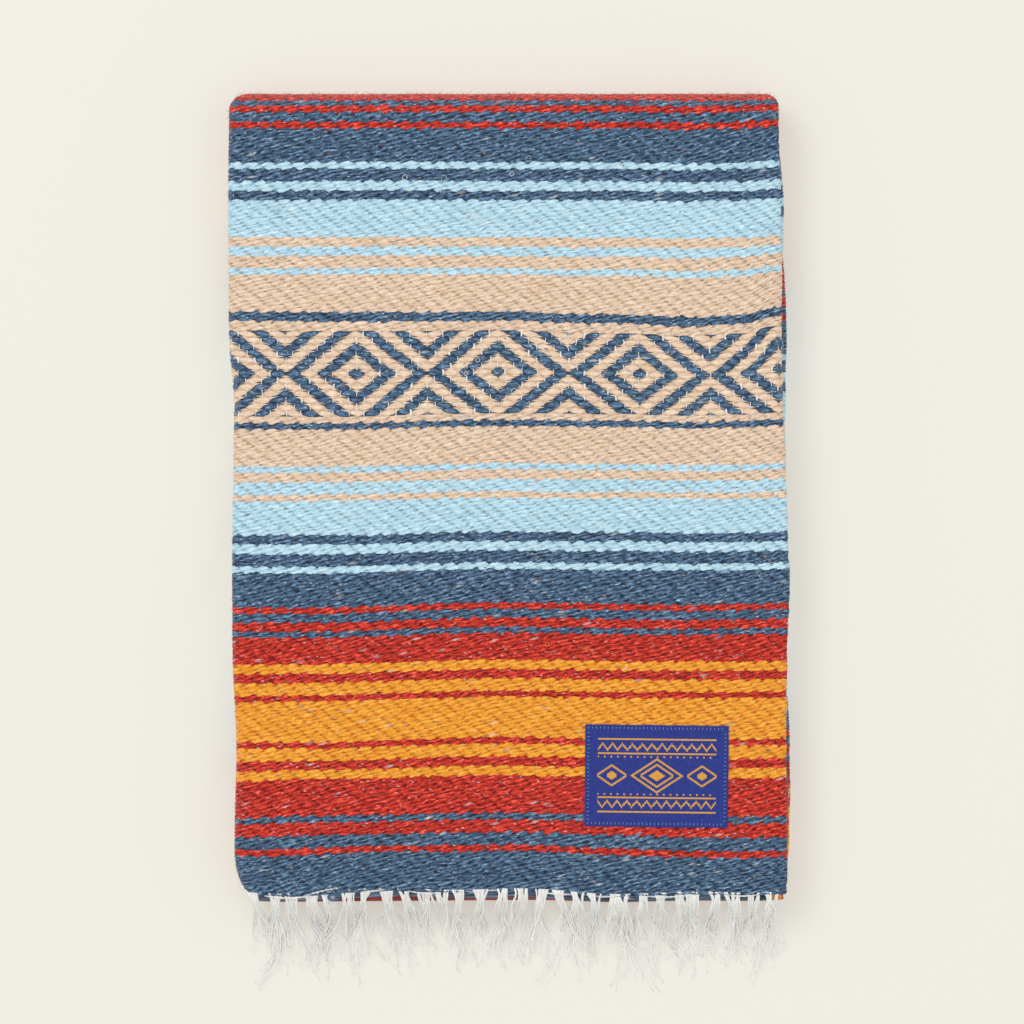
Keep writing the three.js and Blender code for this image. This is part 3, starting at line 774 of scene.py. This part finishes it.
def folded_cloth():
    """The eight hidden layers as one rounded form, with each fold showing at the sides."""
    half_pick = PICK_PITCH / 2
    nose = np.radians(np.linspace(84, 6, 12))
    flat = np.arange(LOWER_FOLD_Y, UPPER_FOLD_Y, half_pick)
    dome = np.radians(np.linspace(4, 80, 9))
    inner = UPPER_RADIUS - CLOTH - UPPER_GAP
    y = np.concatenate([LOWER_FOLD_Y - LOWER_RADIUS * np.sin(nose), flat,
                        UPPER_FOLD_Y + inner * np.sin(dome)])
    turn = np.concatenate([nose, 0 * flat, 0 * dome])
    dome_scale = np.cos(dome) * inner / (UPPER_RADIUS - 0.5)
    scale = np.concatenate([np.cos(nose), 0 * flat + 1, dome_scale])
    centre = np.where(y < 0, PANEL_HEIGHT, UPPER_RADIUS)
    side_y = np.maximum(y, LOWER_FOLD_Y)
    along = side_y - HEM_Y
    taper = 1 - smooth((side_y - LOWER_FOLD_Y) / 28)
    right = edge("right", along) - right_inset(side_y) - 4 * taper
    left = -edge("left", along) + left_inset(side_y) + 8 * taper
    wrapped = y > UPPER_FOLD_Y - UNDER_TUCK - 5
    pick_row = np.arange(len(y))
    ridge = np.where(pick_row % 2 == 1, RIDGE, -RIDGE)
    # Each face takes its stripe from its own panel
    by_panel = {p: panel_pick(p, y, turn) for p in (1, 2, 3)}
    places = []

    def add(x, z, panel, warp):
        places.append((x + 0 * y, z + 0 * y, by_panel[panel], warp + 0 * y))

    def add_fold(crown, side, low, high, steps, panel, warp, seed):
        """Half a round whose crown is on the right, with side 1, or on the left, with -1."""
        radius = (high - low) / 2
        rough = ROUGHNESS * soft_noise(seed, pick_row / 1.6, 0 * y)
        for k in range(steps):
            a = math.pi * k / steps
            grown = radius + (ridge + rough) * math.sin(a)
            x = crown + side * (grown * math.sin(a) - radius)
            z = (low + high) / 2 - side * radius * math.cos(a)
            add(x, z, panel, warp + radius * a / WARP_PITCH)

    for number, (low, high, column, more, panel) in enumerate(RIGHT_FOLDS):
        crown = right + edge(column, along) + more
        crown = crown + 0.8 * soft_noise(40 + number, y / 23 + 50, 0 * y)
        if panel == 1:
            hidden = smooth((HEM_Y + 8 - y) / 10)
            crown = crown - 14 * hidden
        add_fold(crown, 1, low, high, RIGHT_STEPS, panel, 1, 30 + number)
    top = 8 * LAYER_PITCH
    for t in np.linspace(0, 1, 9)[:-1]:
        add(right - 6 + (left + 18 - right + 6) * t, top, 1, 30 * t)
    roll_x = left + LEFT_RADIUS
    for k in range(6):
        a = math.pi * k / 5
        round_z = top - TUCK_ROUND + TUCK_ROUND * math.cos(a)
        add(roll_x - TUCK_ROUND * math.sin(a), round_z, 1, k)
    add(roll_x + TUCK_REACH, top - 2 * TUCK_ROUND, 1, 8)
    add(roll_x + TUCK_REACH, 2 * PANEL_HEIGHT - SLIM, 3, 9)
    for high, low, inset, panel in LEFT_FOLDS:
        add_fold(left + inset, -1, low, high, LEFT_STEPS, panel, LEFT_WARP, 50 + panel)
    for t in np.linspace(0, 1, UNDER_STEPS)[:-1]:
        x = left + 7 + (right - 3.4 - left - 7) * t
        add(x, 0.0, 2, (right - x) / WARP_PITCH + SELVEDGE_CLOSE)
    x, z, picks, warp = np.array(places).transpose(1, 2, 0)
    # Room for the top cloth: its tuck on the surface, and its rolls on the left
    room = wrapped[:, None]
    z = np.where(room, np.maximum(z, CLOTH + SLIM), z)
    roll_room = room & ((z < PANEL_HEIGHT + 0.4) | (z > 2 * PANEL_HEIGHT - 0.5))
    x = np.where(roll_room, np.maximum(x, (left + LEFT_RADIUS + TUCK_REACH)[:, None]), x)
    inside = np.clip((y - UPPER_FOLD_Y) / 5.2, 0, 1)
    dent = left + 16 - 15 * np.sqrt(1 - inside ** 2)
    x = np.where((y > UPPER_FOLD_Y)[:, None], np.maximum(x, dent[:, None]), x)
    rise = swell(x, y[:, None]) - hem_droop(along)[:, None]
    z = z + rise * smooth(z / PANEL_HEIGHT - 2)
    z = centre[:, None] + (z - centre[:, None]) * scale[:, None]
    wave = hem_wave(x) * (1 - smooth((y[:, None] - HEM_Y) / 90))
    points = np.stack([x, y[:, None] + wave, z], -1)
    rows, size = x.shape
    faces = ring_faces(np.arange(rows * size).reshape(1, rows, size))
    ends = [points[0].mean(0), points[-1].mean(0)]
    first, last, row = rows * size, rows * size + 1, (rows - 1) * size
    faces += [[(k + 1) % size, k, first] for k in range(size)]
    faces += [[row + k, row + (k + 1) % size, last] for k in range(size)]
    points = np.concatenate([points.reshape(-1, 3), ends])
    obj = new_object("folded_cloth", points, faces,
                     cloth_material("woven_stripes_folded", HALF_CHART, True))
    # Two panels meet along some edges, so the attribute is kept by face corner
    pick_from, pick_to = picks[:-1], picks[1:]
    warp_next = np.roll(warp, -1, axis=1)
    jump = np.abs(warp_next - warp) > 20
    warp_next = np.where(jump, warp + 1, warp_next)
    pairs = ((warp[:-1], pick_from), (warp_next[:-1], pick_from), (warp_next[1:], pick_to),
             (warp[1:], pick_to))
    corners = np.stack([np.stack(pair, -1) for pair in pairs], 2).reshape(-1, 2)
    caps = np.zeros((6 * size, 2))
    caps[:3 * size, 1] = by_panel[3][0]
    caps[3 * size:, 1] = by_panel[1][-1]
    values = np.concatenate([corners, caps])
    add_attribute(obj, "weave", np.column_stack([values, 0 * values[:, 0]]), "CORNER")
    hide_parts("folded_layers")
    return obj


def tubes(paths, radii, sides=3):
    """Thin tubes along paths of equally many points; radii has one value for each point."""
    paths, radii = np.asarray(paths, float), np.asarray(radii, float)
    count, steps, _ = paths.shape
    tangent = np.gradient(paths, axis=1)
    tangent /= np.maximum(np.linalg.norm(tangent, axis=2, keepdims=True), 1e-9)
    up = np.broadcast_to([0.05, 0.1, 1.0], tangent.shape)
    across = np.cross(tangent, up)
    across /= np.maximum(np.linalg.norm(across, axis=2, keepdims=True), 1e-9)
    over = np.cross(across, tangent)
    rings = []
    for k in range(sides):
        a = TAU * k / sides + 0.5
        rings.append(paths + radii[..., None] * (math.cos(a) * across + math.sin(a) * over))
    points = np.stack(rings, 2)
    index = np.arange(count * steps * sides).reshape(count, steps, sides)
    faces = ring_faces(index)
    faces += index[:, 0, ::-1].reshape(-1, sides).tolist()
    faces += index[:, -1].reshape(-1, sides).tolist()
    return points.reshape(-1, 3), faces, steps * sides


def yarn_material(name):
    """Soft spun yarn. Its colour comes from the mesh's colour attribute, with fine fibres."""
    material, tree, shader = new_material(name)
    colour, _ = attribute(tree, "tint")
    place = object_place(tree)
    fine = noise(place, 900.0, 3.0, 0.6)
    broad = noise(place, 90.0, 2.0)
    light = fine.times(0.25, 0.88) * broad.times(0.16, 0.94)
    colour = shade(colour, light)
    finish_shader(shader, colour, fine, 0.0002, 0.3)
    # Painted light: the yarn glows faintly, standing in for light through thin yarn, so its
    # shaded side stays pale
    set_inputs(shader, {"Emission Color": colour, "Emission Strength": YARN_PAINTED_GLOW})
    return material


def yarn_object(name, paths, radii, colours, material, sides=3):
    points, faces, each = tubes(paths, radii, sides)
    obj = new_object(name, points, faces, material)
    tint = np.repeat(np.asarray([linear(c)[:3] for c in colours]), each, axis=0)
    add_attribute(obj, "tint", tint)
    return obj


# Section of the fringe over the lower fold: share of its reach, and the height there
FRINGE_FALL = ((0, 31.2), (0.05, 30.4), (0.12, 27.5), (0.2, 20.0), (0.28, 11.5), (0.4, 6.0),
               (0.6, 3.6), (1.3, 1.6))
FRINGE_REACH = 76.0
TUFT_PITCH = 14.5
FRINGE_SPAN = (-195.0, 213.0)
# Lengths of a tuft's strands, and the share of tufts that are long and by how much
TUFT_LENGTH, LONG_SHARE, LONGER = (52, 82), 0.16, 1.2
# How far apart a tuft's bundles leave the hem, and the lean of tufts and bundles
ROOT_REACH, TUFT_LEAN, BUNDLE_LEAN = 5.6, 0.17, 0.15
# Fewest bundles and strands, and one past the most
BUNDLES, STRANDS = (6, 10), (2, 5)
STRAND_RADIUS = (0.42, 0.72)
COTTON = np.array([246, 245, 241])


def fringe(material):
    """Loose warp ends in tufts. Each tuft has a few bundles that come out of the hem apart,
    gather, then splay in waves; the strands of a bundle keep close and open towards the tips."""
    rng = np.random.default_rng(2024)
    steps = 17
    t = np.linspace(0, 1, steps)
    paths, radii, colours = [], [], []
    x = FRINGE_SPAN[0]
    while x < FRINGE_SPAN[1]:
        root = x + rng.uniform(-2.5, 2.5)
        tuft_lean = rng.normal(0, TUFT_LEAN)
        tuft_length = rng.uniform(*TUFT_LENGTH) * (LONGER if rng.random() < LONG_SHARE else 1)
        for _ in range(int(rng.integers(*BUNDLES))):
            start = rng.uniform(-ROOT_REACH, ROOT_REACH)
            lean = tuft_lean + rng.normal(0, BUNDLE_LEAN)
            wave_length, wave_phase = rng.uniform(26, 60), rng.uniform(0, TAU)
            wave_reach = rng.uniform(0.8, 3.0)
            curve = rng.normal(0, 0.0022)
            bundle_length = tuft_length * rng.uniform(0.55, 1.0)
            level = rng.uniform(0.1, 1.0)
            gather_run = rng.uniform(7, 20)
            for _ in range(int(rng.integers(*STRANDS))):
                length = bundle_length * rng.uniform(0.72, 1.05)
                run = t * length
                gather = np.exp(-run / gather_run)
                free = 1 - np.exp(-run / 12)
                open_out = rng.normal(0, 0.055) * run * free + rng.normal(0, 0.5)
                kink, kink_phase = rng.uniform(16, 38), rng.uniform(0, TAU)
                own = rng.uniform(0.2, 0.9) * np.sin(TAU * run / kink + kink_phase)
                wave = wave_reach * np.sin(TAU * run / wave_length + wave_phase)
                px = root + start * gather + (lean * run + wave + curve * run ** 2 + own) * free
                px = px + open_out
                out = run * math.cos(min(abs(lean), 1.1)) * (1 - 0.04 * rng.random())
                share = out / FRINGE_REACH
                height = np.interp(share, *zip(*FRINGE_FALL))
                drop = smooth((share - 0.14) / 0.3)
                rest = 0.5 + 0.8 * rng.random()
                pz = height * (1 - drop * (1 - level)) + rest * drop * (1 - level)
                pz = pz + 0.45 * np.sin(TAU * run / kink + kink_phase + 1.5) * free
                px = np.clip(px, -212 + 0.3 * own, 222 + 0.3 * own)
                hem = HEM_Y + hem_wave(np.clip(root + start, -208, 212))
                paths.append(np.stack([px, hem + 1.8 - out, np.maximum(pz, 0.4)], 1))
                width = rng.uniform(*STRAND_RADIUS)
                radii.append(width * (1 - 0.45 * t ** 2) * (1 + 0.3 * gather))
                colours.append(COTTON + rng.uniform(-8, 6))
        x += TUFT_PITCH * rng.uniform(0.8, 1.25)
    obj = yarn_object("fringe_strands", paths, radii, colours, material)
    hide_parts("fringe")
    return obj


def thread_colour(pick):
    """The sRGB colour of the face's yarn at a pick."""
    stripes, _ = read_chart(FACE_CHART)
    return YARNS[[name for name, at in stripes if at <= max(pick, 0)][-1]]


def on_cloth(q, run):
    """Where a straight run of cloth really lies on the top cloth, and its normal."""
    return cloth_point(q, run + weft_rise(edge("right", run) - q, run))


EDGE_FIBRES, FACE_FIBRES = 1500, 1300
LABEL_CLEAR = 9.0
PALE_FIBRE = np.array([244, 243, 238])


def loose_fibres(material):
    """Short fibres that stand out of the yarn: on the face, and thicker along its edges."""
    rng = np.random.default_rng(505)
    paths, radii, colours = [], [], []
    t = np.linspace(0, 1, 6)
    for number in range(EDGE_FIBRES + FACE_FIBRES):
        at_edge = number < EDGE_FIBRES
        run = rng.uniform(4, FLAT_RUN + 0.45 * FOLD_RUN)
        if at_edge:
            kind = number % 5
            if kind < 2:
                q = edge("right", run) + edge("left", run) - LEFT_RADIUS * rng.uniform(0.0, 0.9)
            elif kind < 3:
                q = rng.uniform(-0.5, 2.0)
            else:
                q, run = rng.uniform(0, 420), FLAT_RUN + FOLD_RUN * rng.uniform(0.25, 0.55)
        else:
            q = rng.uniform(3, 420)
        q, run = np.array(float(q)), np.array(float(run))
        point, normal = on_cloth(q, run)
        if not clear_of_label(point, LABEL_CLEAR):
            continue
        pick = float(run_pick(run))
        length = rng.uniform(1.6, 5.5) if at_edge else rng.uniform(2.5, 8.0)
        heading = rng.normal(0, 1, 3)
        heading -= normal * heading.dot(normal)
        heading /= np.linalg.norm(heading)
        rise = rng.uniform(0.2, 0.85) if at_edge else rng.uniform(0.0, 0.2)
        curl = np.cross(normal, heading) * rng.normal(0, 0.35)
        along = t[:, None] * length
        path = point + normal * (0.2 + rise * along * (1 - 0.35 * t[:, None]))
        path = path + heading * along * 0.8
        paths.append(path + curl * along * t[:, None])
        radii.append(rng.uniform(0.06, 0.15) * (1 - 0.6 * t))
        base = np.array(thread_colour(pick), float)
        pale = rng.choice([0.12, 0.3, 0.75], p=[0.6, 0.25, 0.15])
        colours.append(base + (PALE_FIBRE - base) * pale)
    obj = yarn_object("loose_fibres", paths, radii, colours, material)
    return obj


# Small curls and slubs of stray yarn: X, distance above the hem, turn radius, colour
CURLS = (
    (-79, 546, 2.0, (240, 240, 236)), (3, 549, 1.6, (240, 240, 236)),
    (5, 383, 2.2, (238, 238, 232)), (-23, 407, 1.7, (238, 238, 232)),
    (-32, 397, 1.5, (238, 238, 232)), (-120, 117, 2.2, (224, 150, 52)),
    (211, 220, 2.6, (92, 88, 92)), (-49, 545, 2.4, (190, 220, 236)),
    (120, 470, 1.4, (236, 232, 226)), (-170, 310, 1.5, (214, 232, 240)),
    (60, 200, 1.6, (222, 92, 66)), (30, 190, 1.5, (224, 150, 52)),
)
# Threads along the hem: from X, to X, how far each climbs and bows, and its thickness
HEM_THREADS = (
    (-186, -150, 0.0, 1.2, 0.42), (-156, -128, 4.5, -0.8, 0.3), (-112, -94, 1.0, 0.6, 0.3),
    (-76, -52, -0.5, 1.0, 0.34), (-30, -6, 0.8, -0.6, 0.28), (22, 50, 0.0, 0.9, 0.34),
    (66, 84, 1.2, 0.5, 0.3), (104, 138, -0.8, 1.1, 0.32), (168, 192, 0.6, 0.8, 0.32),
)
HEM_WHITE, LOOP_BLUE = (242, 240, 234), (66, 96, 130)
# The blue loop: its middle from the hem, and its reach along X and Y
LOOP_X, LOOP_OUT, LOOP_REACH = -133, 3.2, (4.6, 2.6)


def stray_yarn(material):
    """Curls on the face, and the white weaving-edge threads and a blue loop along the hem."""
    rng = np.random.default_rng(88)
    steps = 22
    t = np.linspace(0, 1, steps)
    paths, radii, colours = [], [], []
    for x, along, turn, colour in CURLS:
        along = np.array(float(along))
        point, _ = on_cloth(edge("right", along) - x, along)
        angle = rng.uniform(0, TAU) + TAU * 1.05 * t
        grow = turn * (0.75 + 0.4 * t)
        arch = 0.5 + 0.9 * np.sin(math.pi * t)
        path = point + np.stack([grow * np.cos(angle), grow * np.sin(angle), arch], 1)
        paths.append(path)
        radii.append(np.full(steps, 0.17))
        colours.append(colour)
    for start, stop, climb, bow, thick in HEM_THREADS:
        for strand in range(2):
            x = start + (stop - start) * t
            twist = TAU * x / 7 + math.pi * strand
            y = HEM_Y + hem_wave(x) - 0.3 + climb * t - bow * np.sin(math.pi * t)
            y = y + 0.45 * np.sin(twist)
            z = STACK_HEIGHT - HEM_DROOP + 0.4 + 0.4 * np.cos(twist) + swell(x, y)
            paths.append(np.stack([x, y, z], 1))
            radii.append(thick * (0.35 + 0.65 * np.sin(math.pi * np.clip(t * 1.02, 0, 1))))
            colours.append(HEM_WHITE)
    angle = np.linspace(0.4, TAU * 0.92, steps)
    for strand in range(3):
        x = LOOP_X + (LOOP_REACH[0] - 0.4 * strand) * np.cos(angle)
        y = HEM_Y - LOOP_OUT + (LOOP_REACH[1] - 0.3 * strand) * np.sin(angle)
        paths.append(np.stack([x, y, 31.2 + 0.6 * strand + 0 * x], 1))
        radii.append(np.full(steps, 0.7))
        colours.append(LOOP_BLUE)
    obj = yarn_object("stray_yarn", paths, radii, colours, material, 5)
    return obj


def label_point(u, v, lift):
    x = LABEL["x"] + u * LABEL_COS - v * LABEL_SIN
    y = LABEL["y"] + u * LABEL_SIN + v * LABEL_COS
    return np.stack([x, y, STACK_HEIGHT + swell(x, y) + lift], -1)


def label_material():
    """Damask patch: blue ground with a generic gold pattern of stepped diamonds, all in threads."""
    material, tree, shader = new_material("label_damask")
    _, (u, v, _) = attribute(tree, "weave")
    tu, tv = (u / LABEL_THREAD).floor(), (v / LABEL_THREAD).floor()
    au, av = tu.abs(), tv.abs()

    def near(value, limit):
        return value.abs().below(limit)

    def steps(across):
        """Stepped distance from the middle of a diamond."""
        return (across / 3).floor() * 3 + (av / 2).floor() * 2 * 1.45

    def either(shape, *others):
        for other in others:
            shape = shape.math("MAXIMUM", other)
        return shape

    # Middle: a stepped diamond with a hollow and a heart; one smaller on each side
    step, side_step = steps(au), steps((au - 82).abs())
    big = either(step.below(46) * step.above(39), step.below(30) * step.above(25), step.below(13))
    small = either(side_step.below(27) * side_step.above(21), side_step.below(9)) * au.above(50)
    # Borders: a stepped zigzag above and below between two lines
    zig = (tu.ping_pong(9) / 2).floor() * 2 * 1.3
    zag = near(av - 52 - zig + 5, 2.2)
    lines = either(near(av - 66, 1.6), near(av - 40, 1.1))
    dots = near(av - 34, 1.6) * (tu / 12).fract().below(0.25)
    gold = either(big, small, either(zag, lines, dots) * au.below(108))
    # Painted sheen: the blue ground is lighter in soft patches
    sheen = noise(combine(u, v), 0.35, 2.0)
    grain = random_value(combine(tu, tv))
    blue = mix(sheen.times(1.6, -0.4), *map(linear, LABEL_BLUES))
    yellow = mix(grain, *map(linear, LABEL_GOLDS))
    colour = mix(gold, blue, yellow)
    rib = (v / LABEL_THREAD).off_middle().power(2).times(-1, 1)
    rung = (u / LABEL_THREAD).off_middle().power(2).times(-1, 1)
    # Painted shade: darker between the thread rows and lighter on their crowns, with random tone by
    # thread
    light = rib.times(0.25, 0.82) * grain.times(0.12, 0.92)
    colour = shade(colour, light)
    height = rib * 0.6 + rung * 0.2 + gold * 0.4
    finish_shader(shader, colour, height, 0.00016, 0.15)
    shader.inputs["Roughness"].default_value = 0.7
    return material


def label_side(half, count):
    """Places along a side of the label, with its rounded rim at both ends."""
    at = np.linspace(-half, half, count)
    return np.concatenate([[-half, -half - LABEL_RIM], at, [half + LABEL_RIM, half]])


def label():
    """The woven patch: a thin hemmed sheet that follows the cloth."""
    u, v = label_side(LABEL_U, 112), label_side(LABEL_V, 82)
    column, row = np.meshgrid(np.arange(len(u)), np.arange(len(v)))
    uu, vv = np.meshgrid(u, v)
    in_u = np.minimum(column, len(u) - 1 - column)
    in_v = np.minimum(row, len(v) - 1 - row)
    ring = np.minimum(in_u, in_v)
    to_edge = np.minimum(LABEL_U - np.abs(uu), LABEL_V - np.abs(vv))
    hem = 1 - smooth((to_edge - 4.6) / 0.9)
    top = 0.95 + 0.3 * hem - 0.35 * (1 - smooth(to_edge / 0.9))
    top = top + 0.14 * soft_noise(70, uu / 9 + 30, vv / 9 + 30)
    seam = 0.16 * np.exp(-((to_edge - 2.4) / 0.5) ** 2)
    top = top - seam * (0.6 + 0.4 * np.sin(TAU * (uu + vv) / 3))
    lift = np.select([ring == 0, ring == 1], [0.35, 0.6], top)
    wavy = 0.3 * soft_noise(71, (uu + vv) / 8 + 30, (uu - vv) / 40 + 30)
    wide = smooth(1 - to_edge / 3)
    points = label_point(uu + wavy * wide * np.sign(uu) * 0.5, vv + wavy * wide * np.sign(vv), lift)
    faces, places = shell_faces(len(v), len(u), 9, 9)
    j, i = np.array(places).T
    inner = label_point(uu[j, i], vv[j, i], 0.35 + 0 * uu[j, i])
    obj = new_object("label_patch", np.concatenate([points.reshape(-1, 3), inner]), faces,
                     label_material())
    weave = np.stack([uu, vv, hem], -1)
    add_attribute(obj, "weave", np.concatenate([weave.reshape(-1, 3), weave[j, i]]))
    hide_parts("woven_label")
    return obj


def label_stitches(material):
    """Machine stitches round the patch, each a short raised thread."""
    rng = np.random.default_rng(77)
    inset, pitch, long = 2.3, 3.0, 1.9
    spots = []
    half_u, half_v = LABEL_U - inset, LABEL_V - inset
    for sign in (-1, 1):
        for u in np.arange(-half_u, half_u, pitch):
            spots.append((u, sign * half_v, 0.0, long))
        for v in np.arange(-half_v + pitch, half_v - 1, pitch):
            spots.append((sign * half_u, v, long, 0.0))
    paths = []
    for u, v, du, dv in spots:
        t = np.linspace(-0.5, 0.5, 5)
        skew = rng.normal(0, 0.12)
        uu, vv = u + du * t + skew * (dv > 0) * t * 2, v + dv * t + skew * (du > 0) * t * 2
        lift = 1.12 + 0.32 * (1 - (2 * t) ** 2) - 0.25 * (2 * np.abs(t)) ** 4
        paths.append(label_point(uu, vv, lift))
    radii = np.full((len(paths), 5), 0.24)
    colours = [(118 + rng.uniform(-12, 12), 158 + rng.uniform(-12, 12), 186) for _ in paths]
    obj = yarn_object("label_stitching", paths, radii, colours, material, 5)
    return obj


# Stage

FLOOR_GAP, FLOOR_REACH = 0.0006, 30.0
FLOOR_PALES = ((240, 238, 229), (241, 239, 230))
WORLD_LIGHT = 0.74
# Name, place in metres, power in watts and width of each lamp
LAMPS = (
    ("key", (-3.9, 4.4, 6.0), 230, 4.0),
    ("fill", (3.0, -3.0, 7.0), 40, 6.0),
)
LAMP_COLOUR = (1.0, 0.985, 0.955)


def stage():
    """Pale floor and soft light from the upper left."""
    mesh = bpy.data.meshes.new("floor")
    signs = ((-1, -1), (1, -1), (1, 1), (-1, 1))
    mesh.from_pydata([(a * FLOOR_REACH, b * FLOOR_REACH, 0) for a, b in signs], [], [(0, 1, 2, 3)])
    floor = link_object("floor", mesh)
    floor.location.z = -FLOOR_GAP
    material, tree, shader = new_material("pale_floor")
    cloudy = noise(object_place(tree), 1.2)
    colour = mix(cloudy, *map(linear, FLOOR_PALES))
    dim = mix(1.0, colour, (*[1 - FLOOR_GLOW] * 3, 1.0), "MULTIPLY")
    set_inputs(shader, {
        "Base Color": dim, "Roughness": 0.95, "Specular IOR Level": 0.1,
        "Emission Color": colour, "Emission Strength": FLOOR_GLOW,
    })
    mesh.materials.append(material)

    world = bpy.data.worlds.new("studio")
    world.use_nodes = True
    background = world.node_tree.nodes["Background"]
    background.inputs["Color"].default_value = (0.99, 0.995, 1.0, 1)
    background.inputs["Strength"].default_value = WORLD_LIGHT
    bpy.context.scene.world = world
    for name, place, energy, width in LAMPS:
        light = bpy.data.lights.new(name, "AREA")
        light.energy, light.size = energy, width
        light.color = LAMP_COLOUR
        lamp = link_object(name, light)
        lamp.location = place
        aim = -lamp.location.normalized()
        lamp.rotation_mode = "QUATERNION"
        lamp.rotation_quaternion = aim.to_track_quat("-Z", "Y")
    bpy.context.scene.view_settings.view_transform = "Standard"


CAMERA_HEIGHT = 4.0
VIEW_WIDTH = 0.7813
VIEW_MIDDLE = (0.0009, 0.0270)


def camera():
    data = bpy.data.cameras.new("above")
    data.lens = data.sensor_width * CAMERA_HEIGHT / VIEW_WIDTH
    data.clip_end = 20.0
    obj = link_object("above", data)
    obj.location = (*VIEW_MIDDLE, STACK_HEIGHT * MM + CAMERA_HEIGHT)
    bpy.context.scene.camera = obj


camera()
stage()
cotton = yarn_material("cotton_yarn")
top = top_cloth()
folded = folded_cloth()
strands = fringe(cotton)
fibres = loose_fibres(cotton)
stray = stray_yarn(cotton)
patch = label()
stitches = label_stitches(cotton)
